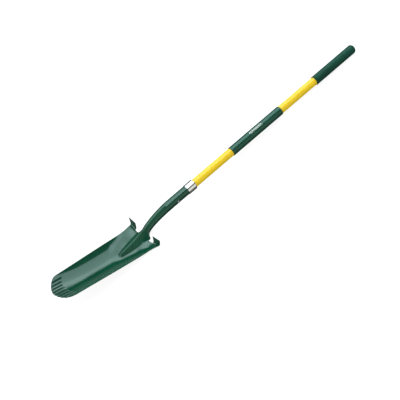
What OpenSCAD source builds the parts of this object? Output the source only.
// Long-handled trenching spade: one pressed blade, frog and rolled socket, a tubular handle
// with two sleeves, a collar at the socket mouth and one cross rivet.
// The spade lies on its back. +X runs from the tip to the butt, +Z is up, out of the trough.
// The shapes are built along the handle axis first (x = 0 at the lower end of the collar)
// and then laid down by one small turn, so that the heel and the grip both touch z = 0.

/* [Blade] */
// Length of the blade from the shoulder to the tip
blade_len = 397; // [380:1:410]
// Width of the blade at mid-length
blade_w = 146; // [136:1:156]
// Angle by which the blade lifts forward of the handle axis
blade_lift = 12.3; // [10:0.1:14]
// Depth of the trough where it is deepest
trough_d = 24.5; // [18:0.5:28]
// Depth of the trough at the tip
tip_d = 8; // [5:1:12]
// Length of the rounded end
tip_round = 49; // [40:1:56]
// Thickness of the pressed sheet
sheet_t = 1.9; // [1.5:0.1:2.2]

/* [Flutes] */
// Distance between neighbouring flutes in the tip
flute_pitch = 14; // [13:0.1:15]
// Length of the flutes
flute_len = 47; // [40:1:52]
// Depth of the flutes
flute_d = 2; // [1:0.1:2.4]

/* [Steps] */
// Height of the turned steps above the shoulder
step_h = 28; // [22:1:32]
// Distance from the centre line to the inner end of a step
step_in = 54; // [52:1:62]
// Distance from the centre line to the outer end of a step
step_out = 95; // [90:1:96]

/* [Frog and socket] */
// Height of the frog above the sheet at the shoulder
frog_h = 31; // [28:1:34]
// Half-width of the frog at the shoulder
frog_b = 31; // [27:1:33]
// Length of the frog from the shoulder to its point
frog_len = 121; // [110:1:130]
// Outer diameter of the rolled socket
socket_d = 35.8; // [35.4:0.1:36.4]
// Width of the open seam along the back of the socket
seam_w = 1.2; // [0.8:0.1:2]

/* [Handle] */
// Outer diameter of the handle tube
tube_d = 32; // [31.6:0.1:32]
// Wall thickness of the handle tube
tube_wall = 3.5; // [3:0.1:4.5]
// Length of the tube below the collar's lower end
tube_below = 80; // [72:1:84]
// Diameter of the cross rivet
rivet_d = 6; // [5:0.1:7]
// Distance of the rivet below the collar's lower end
rivet_at = 54; // [46:1:60]
// Length of the collar
collar_len = 37.4; // [34:0.1:42]
// Outer diameter of the collar
collar_d = 39.1; // [38.6:0.1:40.2]

/* [Sleeves] */
// Distance of the middle sleeve above the collar's lower end
sleeve_at = 228; // [200:1:260]
// Length of the middle sleeve
sleeve_len = 258; // [200:1:280]
// Outer diameter of the middle sleeve
sleeve_d = 36.3; // [35:0.1:38]
// Distance of the end grip above the collar's lower end
grip_at = 674.7; // [640:0.1:700]
// Length of the end grip, with its closed end
grip_len = 221.5; // [210:0.5:240]
// Outer diameter of the end grip
grip_d = 37.2; // [36:0.1:39]

/* [Hidden] */
$fn = 64;
gap = 0.05;                              // assembly clearance, all round

// ---- helpers: a smooth curve through a short list of [position, value] stations
function seg(T, x, i = 0) = (i >= len(T) - 2 || x < T[i + 1][0]) ? i : seg(T, x, i + 1);
function rise(T, i) = (T[i + 1][1] - T[i][1]) / (T[i + 1][0] - T[i][0]);
function slope(T, i) = i == 0 ? rise(T, 0) : i == len(T) - 1 ? rise(T, i - 1)
    : (rise(T, i - 1) + rise(T, i)) / 2;
function curve(T, x) = let (i = seg(T, x), h = T[i + 1][0] - T[i][0],
        t = max(0, min(1, (x - T[i][0]) / h)), a = slope(T, i) * h, b = slope(T, i + 1) * h)
    (2 * t * t * t - 3 * t * t + 1) * T[i][1] + (t * t * t - 2 * t * t + t) * a
    + (3 * t * t - 2 * t * t * t) * T[i + 1][1] + (t * t * t - t * t) * b;
function ease(x) = let (t = max(0, min(1, x))) t * t * (3 - 2 * t);
function unit(v) = v / norm(v);

// ---- the sheet's middle surface: u runs from the shoulder to the tip, v across, w forward
hw_mid = blade_w / 2;
heel = [-222.7, 0, -40.4];               // rim level at the shoulder, on the centre line
// half-width of the blade as a share of the mid-length half-width
WIDTH = [[0, 1.17], [8, 1.145], [18, 1.118], [36, 1.078], [60, 1.057], [90, 1.048], [140, 1.03],
         [200, 1.0], [260, 0.965], [320, 0.935], [370, 0.915], [420, 0.91]];
// depth of the trough as a share of trough_d
DEPTH = [[0, -0.06], [15, -0.055], [27, -0.02], [36, 0.06], [45, 0.16], [60, 0.33], [75, 0.47], [90, 0.6],
         [105, 0.74], [120, 0.9], [135, 0.99], [160, 1.0], [200, 0.98], [260, 0.88], [320, 0.68],
         [360, 0.5], [400, 0.36]];
// how late the trough's floor turns up into its wall
POW = [[0, 2.7], [45, 2.8], [62, 3.5], [78, 4.0], [92, 3.6], [108, 3.1], [130, 2.75], [400, 2.7]];
function half_w(u) = hw_mid * curve(WIDTH, u);
function depth(u) = trough_d * curve(DEPTH, u) - (trough_d * 0.36 - tip_d) * ease((u - 250) / 147);
end_hw = half_w(blade_len - tip_round);
function tip_end(v) = blade_len - tip_round
    + tip_round * pow(max(0, 1 - pow(min(1, abs(v) / end_hw), 1.62)), 1 / 1.62);

// pressed flutes: eight round-bottomed grooves that run out over the tip
function flute(u, v) = let (k = floor(v / flute_pitch) + 0.5, d = abs(v - k * flute_pitch) / (flute_pitch * 0.32),
        a = ease((u - (tip_end(v) - flute_len)) / 6))
    (abs(k) > 4 || d > 1) ? 0 : flute_d * a * (1 + cos(180 * d)) / 2;

function floor_w(u, v) = let (s = min(1, abs(v) / half_w(u)))
    -depth(u) * (1 - pow(s, curve(POW, u))) - flute(u, v)
    + 5 * ease(1 - u / 70) * pow(s, 6);

// frog: a ridge that falls from the socket to a blunt point in the trough
FROG_B = [[0, 1.0], [26, 0.95], [52, 0.86], [66, 0.79], [81, 0.71], [93, 0.62], [106, 0.48],
          [114, 0.33], [118, 0.2], [121, 0]];
CREST = [[0, 1.0], [12, 0.81], [26, 0.6], [40, 0.39], [52, 0.235], [66, 0.06], [82, -0.125],
         [94, -0.26], [106, -0.4], [114, -0.54], [121, -0.76]];
function frog_half(u) = u >= frog_len ? 0 : max(0, frog_b * curve(FROG_B, u * 121 / frog_len));
function crest_w(u) = frog_h * curve(CREST, u * 121 / frog_len);
c_round = 0.18;
function ridge_raw(q) = (sqrt(q * q + c_round * c_round) - c_round) / (sqrt(1 + c_round * c_round) - c_round) * 1.02;
function ridge(q) = let (h = ridge_raw(q)) (h + 1 - sqrt((h - 1) * (h - 1) + 0.0016)) / 2 / 0.98;
function fall(q) = q >= 1 ? 1 : min(1, ridge(q));
function sheet_w(u, v) = let (b = frog_half(u), f = floor_w(u, v))
    (b <= 0.01 || abs(v) >= b) ? f
    : let (fb = floor_w(u, b), c = max(crest_w(u), fb)) max(f, fb + (c - fb) * (1 - fall(abs(v) / b)));

// ---- grid
MF = 12;                                 // columns from the crest to the frog's foot
MC = 26;                                 // columns from the centre line to the rim
MT = 17;                                 // column at the inner end of a step
ROWS = concat([for (u = [0, 3, 7, 12]) u], [for (u = [18:7:95]) u], [for (u = [100:4:116]) u],
              [119, 122, 126, 132, 141], [for (u = [153:20:313]) u], [326, 336, 343],
              [for (u = [348:3:357]) u], [for (u = [363:7:384]) u], [391, 397]);
NB = len(ROWS) - 1;
NK = 16;                                 // rows of the neck, up to the round socket
NT = 6;                                  // rows of a step

// lateral place of column j at row position u
function col_tip(j) = j <= 22 ? j * flute_pitch / 6 / end_hw
    : (22 * flute_pitch / 6 + (end_hw - 22 * flute_pitch / 6) * (j - 22) / 4) / end_hw;
function col_frog(j, u) = let (b = max(frog_half(u), 0.25 * frog_b), h = half_w(u), si = step_in * half_w(u) / half_w(0))
    (j <= MF ? b * j / MF : j <= MT ? b + (si - b) * (j - MF) / (MT - MF)
    : si + (h - si) * (j - MT) / (MC - MT)) / h;
function col(j, u) = let (k = ease((u - 125) / 170)) col_frog(j, u) * (1 - k) + col_tip(j) * k;
function at_uvw(u, v, w) = heel + [-u * cos(blade_lift) + w * sin(blade_lift), v,
                                   u * sin(blade_lift) + w * cos(blade_lift)];
// the shoulder's edge: full length at the frog's foot, relieved beside it, and set back by
// the bend under each step
EDGE = [[0, 0], [5, 0], [9, 3], [12, 6.5], [14, 7], [17, 4.5], [26, 3]];
function blade_pt(i, j) = let (r0 = ROWS[i] * blade_len / 397, s = j < 0 ? -1 : 1,
        u0 = r0 + curve(EDGE, abs(j)) * pow(max(0, 1 - r0 / 34), 1.5),
        f = col(abs(j), u0), vt = f * half_w(u0),
        u = u0 - (blade_len - tip_end(f * end_hw)) * ease((u0 - 230) / (blade_len - 230)),
        v = f * half_w(u))
    at_uvw(u, s * v, sheet_w(u, v));

// neck: the rolled section opens step by step into the frog's arch
r_mid = (socket_d + tube_d / 1 + 2 * gap) / 4;
wall = socket_d / 2 - tube_d / 2 - gap;
phi_end = 180 - asin((seam_w / 2) / r_mid);
SOCKET_X = -97;                          // where the straight socket begins
crest0 = at_uvw(0, 0, frog_h);
// crest line of the neck, in the plane of symmetry, along the handle axis
NECK_Z = [[crest0[0], crest0[2]], [-201, -3.6], [-184, 2.2], [-164, 7.4], [-143, 11.6],
          [-121, 14.8], [-106, r_mid - 0.5], [SOCKET_X, r_mid], [0, r_mid]];
OPEN = [[0, 1.0], [4, 0.72], [8, 0.5], [13, 0.33], [20, 0.2], [30, 0.11], [44, 0.04], [60, 0], [130, 0]];
GIRTH = [[0, 0.87], [12, 0.84], [30, 0.85], [50, 0.89], [80, 0.95], [110, 0.99], [119, 1.0]];
function open_at(e) = let (x = neck_x(e)) curve(OPEN, x - crest0[0]);
function neck_x(e) = e >= NK - 1 ? SOCKET_X + (e == NK ? 4 : -0.2)
    : e == NK - 2 ? SOCKET_X - 0.3
    : crest0[0] + (SOCKET_X - 2.5 - crest0[0]) * pow(e / (NK - 3), 1.6);
function turn(q, m) = (1 - m) * phi_end * q + m * (q < 0.25 ? 52 * sin(90 * q / 0.25) : q > 0.85 ? 52 - 25 * (q - 0.85) / 0.15 : 52);
function run(m, L, n, i = 0, p = [0, 0]) = i == n ? p
    : let (a = turn((i + 0.5) / 48, m)) run(m, L, n, i + 1, p + [cos(a), sin(a)] * L / 48);
function neck_pt(e, j) = let (x = neck_x(e), z = curve(NECK_Z, x), d = x - crest0[0],
        m = open_at(e), L = phi_end * PI / 180 * r_mid * curve(GIRTH, min(119, d)),
        q = abs(j) / MF, s = j < 0 ? -1 : 1, a = run(m, L, round(q * 48)),
        n = ease(1 - d / 15), b = [frog_b * q, (frog_h - floor_w(0, frog_b)) * fall(q)],
        p = a * (1 - n) + b * n, t = blade_lift * ease(1 - d / 70))
    [x - p[1] * sin(t), s * p[0], z - p[1] * cos(t)];

// steps: the shoulder's edge turned forward through a quarter circle, leaning back a little
function step_pt(e, j) = let (s = j < 0 ? -1 : 1, k = (abs(j) - MT) / (MC - MT), q = e / NT,
        v0 = abs(blade_pt(0, j)[1]), w0 = sheet_w(curve(EDGE, abs(j)), v0), r = 6,
        a = min(90, q * 180), h = q <= 0.5 ? r * (1 - cos(a)) : r + (step_h - r) * (q - 0.5) * 2,
        back = q <= 0.5 ? r * sin(a) : r, u0 = curve(EDGE, abs(j)),
        v = v0 + (k * (step_out - half_w(0)) ) * pow(h / step_h, 0.45))
    at_uvw(u0 - back, s * v, w0 + h);

// one grid holds all of it: rows 0..NK are neck and steps, the rest is the blade
R = NK + NB + 1;
C = 2 * MC + 1;
function pt(r, c) = let (j = c - MC, e = NK - r)
    e <= 0 ? blade_pt(-e, j)
    : abs(j) <= MF ? neck_pt(e, j)
    : (abs(j) >= MT && e <= NT) ? step_pt(e, j) : blade_pt(0, j);
P = [for (r = [0:R - 1]) [for (c = [0:C - 1]) pt(r, c)]];
function cell(r, c) = r < 0 || c < 0 || r >= R - 1 || c >= C - 1 ? false : r >= NK ? true
    : let (a = abs(c - MC), b = abs(c + 1 - MC))
      (a <= MF && b <= MF) || (a >= MT && b >= MT && NK - r <= NT);
function any(r, c) = cell(r, c) || cell(r - 1, c) || cell(r, c - 1) || cell(r - 1, c - 1);
function nrm(r, c) = let (
        up = cell(r - 1, c) || cell(r - 1, c - 1), dn = cell(r, c) || cell(r, c - 1),
        lf = cell(r, c - 1) || cell(r - 1, c - 1), rt = cell(r, c) || cell(r - 1, c),
        du = P[dn ? r + 1 : r][c] - P[up ? r - 1 : r][c],
        dv = P[r][rt ? c + 1 : c] - P[r][lf ? c - 1 : c])
    unit(cross(du, dv));
// the sheet is ground thinner along the tip, and enters the straight socket a little thinner
function thick(r, c) = r <= 1 ? 0.62 * wall : r < NK ? wall + (sheet_t - wall) * max(0, (r - 2) / (NK - 2))
    : r == R - 1 ? sheet_t * 0.55 : r == R - 2 ? sheet_t * 0.85 : sheet_t;
OFF = [for (r = [0:R - 1]) for (c = [0:C - 1]) any(r, c) ? nrm(r, c) * thick(r, c) / 2 : [0, 0, 0]];
FLAT = [for (r = [0:R - 1]) for (c = [0:C - 1]) P[r][c]];
USED = [for (r = [0:R - 1]) for (c = [0:C - 1]) any(r, c) ? 1 : 0];
function sums(i = 0, acc = 0, out = []) = i == len(USED) ? out
    : sums(i + 1, acc + USED[i], concat(out, [acc]));
IDX = [for (i = 0, a = 0; i < len(USED); a = a + USED[i], i = i + 1) a];
NU = IDX[len(USED) - 1] + USED[len(USED) - 1];
PTS = concat([for (i = [0:len(USED) - 1]) if (USED[i] == 1) FLAT[i] + OFF[i]],
             [for (i = [0:len(USED) - 1]) if (USED[i] == 1) FLAT[i] - OFF[i]]);
function id(r, c) = IDX[r * C + c];
FACES = [for (r = [0:R - 2]) for (c = [0:C - 2]) if (cell(r, c))
    let (a = id(r, c), b = id(r, c + 1), d = id(r + 1, c), e = id(r + 1, c + 1),
         left = c < MC)
    each concat(
        left ? [[a, b, e], [a, e, d], [a + NU, e + NU, b + NU], [a + NU, d + NU, e + NU]]
             : [[a, b, d], [b, e, d], [a + NU, d + NU, b + NU], [b + NU, d + NU, e + NU]],
        cell(r - 1, c) ? [] : [[a, a + NU, b + NU], [a, b + NU, b]],
        cell(r + 1, c) ? [] : [[d, e, e + NU], [d, e + NU, d + NU]],
        cell(r, c - 1) ? [] : [[a, d, d + NU], [a, d + NU, a + NU]],
        cell(r, c + 1) ? [] : [[b, b + NU, e + NU], [b, e + NU, e]])];

// ---- laying the spade down: the heel and the grip touch z = 0
heel_low = min([for (p = PTS) p[2] + 0.027 * -p[0]]);
butt_x = grip_at + grip_len;
grip_end_r = 12;                         // radius of the rounded end of the grip
grip_low_x = butt_x - grip_end_r;
LOW = [for (p = PTS) if (p[2] < -38) p];
function lay_err(a) = min([for (p = LOW) p[2] * cos(a) - p[0] * sin(a)])
    - (-grip_d / 2 * cos(a) - grip_low_x * sin(a));
function solve(lo, hi, n) = n == 0 ? (lo + hi) / 2
    : let (m = (lo + hi) / 2) lay_err(m) < 0 ? solve(m, hi, n - 1) : solve(lo, m, n - 1);
lay = solve(0.2, 4, 18);
low = min([for (p = LOW) p[2] * cos(lay) - p[0] * sin(lay)]);
tip_x = min([for (p = PTS) p[0] * cos(lay) + p[2] * sin(lay)]);
END_R = grip_d / 2;
top_x = max([for (a = [0:3:90]) (grip_low_x + grip_end_r * cos(a)) * cos(lay)
             + (END_R - grip_end_r + grip_end_r * sin(a)) * sin(lay)]);
shift = [-(tip_x + top_x) / 2, 0, -low];
echo(lay = lay, shift = shift, top_x = top_x, tip_x = tip_x, tris = len(FACES), pts = len(PTS));

module laid() { translate(shift) rotate([0, lay, 0]) children(); }
module along(x) { translate([x, 0, 0]) rotate([0, 90, 0]) children(); }
module ring(x, l, ro, ri) { along(x) difference() { cylinder(h = l, r = ro); translate([0, 0, -1]) cylinder(h = l + 2, r = ri); } }
module cross_hole(x, r, l) { translate([x, -l / 2, 0]) rotate([-90, 0, 0]) cylinder(h = l, r = r); }

socket_top = collar_len - 6;
module blade_and_socket() {
    color([0.03, 0.27, 0.18]) laid() union() {
        polyhedron(points = PTS, faces = FACES);
        difference() {
            ring(SOCKET_X, socket_top - SOCKET_X, socket_d / 2, tube_d / 2 + gap);
            translate([SOCKET_X - 1, -seam_w / 2, -socket_d]) cube([socket_top - SOCKET_X + 2, seam_w, socket_d]);
            cross_hole(-rivet_at, rivet_d / 2 + gap, socket_d + 4);
        }
    }
}

// collar: a drawn steel cap with a turned-in lip that closes on the tube
module collar() {
    r = collar_d / 2; ri = socket_d / 2 + gap; rt = tube_d / 2 + gap;
    color([0.82, 0.83, 0.85]) laid() along(0) rotate_extrude($fn = 72)
        polygon([[ri, 0], [r - 0.5, 0], [r, 0.5], [r, collar_len - 2.2], [r - 0.35, collar_len - 1.1],
                 [r - 1.1, collar_len - 0.35], [r - 2.0, collar_len], [rt, collar_len],
                 [rt, collar_len - 1.7], [ri, collar_len - 5.5]]);
}

module socket_rivet() {
    rh = rivet_d / 2;
    color([0.72, 0.73, 0.74]) laid() union() {
        cross_hole(-rivet_at, rh, socket_d + 1);
        for (s = [-1, 1]) difference() {
            intersection() {
                translate([-rivet_at, s * (socket_d / 2 - 4.6), 0]) sphere(r = 6.0);
                translate([-rivet_at, s * (socket_d / 2 + 1), 0]) rotate([90, 0, 0]) cylinder(h = 5.6, r = 4.2, center = true);
            }
            along(-rivet_at - 12) cylinder(h = 24, r = socket_d / 2 + gap / 2);
        }
    }
}

module handle_tube() {
    color([0.93, 0.8, 0.13]) laid() difference() {
        ring(-tube_below, butt_x - 8.6 + tube_below, tube_d / 2, tube_d / 2 - tube_wall);
        cross_hole(-rivet_at, rivet_d / 2 + gap, tube_d + 4);
    }
}

// core plug: a turned dowel that keeps the tube from crushing inside the socket
module core_plug() {
    r = tube_d / 2 - tube_wall - gap;
    color([0.78, 0.62, 0.4]) laid() difference() {
        along(-tube_below) rotate_extrude() polygon([[0, 0], [r - 1.5, 0], [r, 1.5], [r, 138.5], [r - 1.5, 140], [0, 140]]);
        cross_hole(-rivet_at, rivet_d / 2 + gap, tube_d);
    }
}

module butt_plug() {
    r = tube_d / 2 - tube_wall - gap; x = butt_x - 8.6;
    color([0.1, 0.1, 0.1]) laid() along(x) rotate_extrude()
        polygon([[0, -28], [r - 1.5, -28], [r, -26.5], [r, gap], [tube_d / 2, gap], [tube_d / 2, 2], [0, 2]]);
}

module middle_sleeve() {
    r = sleeve_d / 2; ri = tube_d / 2 + gap;
    color([0.12, 0.31, 0.25]) laid() along(sleeve_at) rotate_extrude($fn = 72)
        polygon([[ri, 0], [r - 0.6, 0], [r, 0.6], [r, sleeve_len - 0.6], [r - 0.6, sleeve_len], [ri, sleeve_len]]);
}

// end grip: a dipped sleeve with a closed, rounded end
module end_grip() {
    r = grip_d / 2; ri = tube_d / 2 + gap; L = grip_len;
    color([0.1, 0.28, 0.22]) laid() along(grip_at) rotate_extrude($fn = 72)
        polygon(concat([[ri, 0], [r - 0.8, 0], [r, 0.8]],
                       [for (a = [0:10:90]) [r - grip_end_r + grip_end_r * cos(a), L - grip_end_r + grip_end_r * sin(a)]],
                       [[0, L], [0, L - 6.6 + gap], [ri, L - 6.6 + gap]]));
}

blade_and_socket();
collar();
socket_rivet();
handle_tube();
core_plug();
butt_plug();
middle_sleeve();
end_grip();
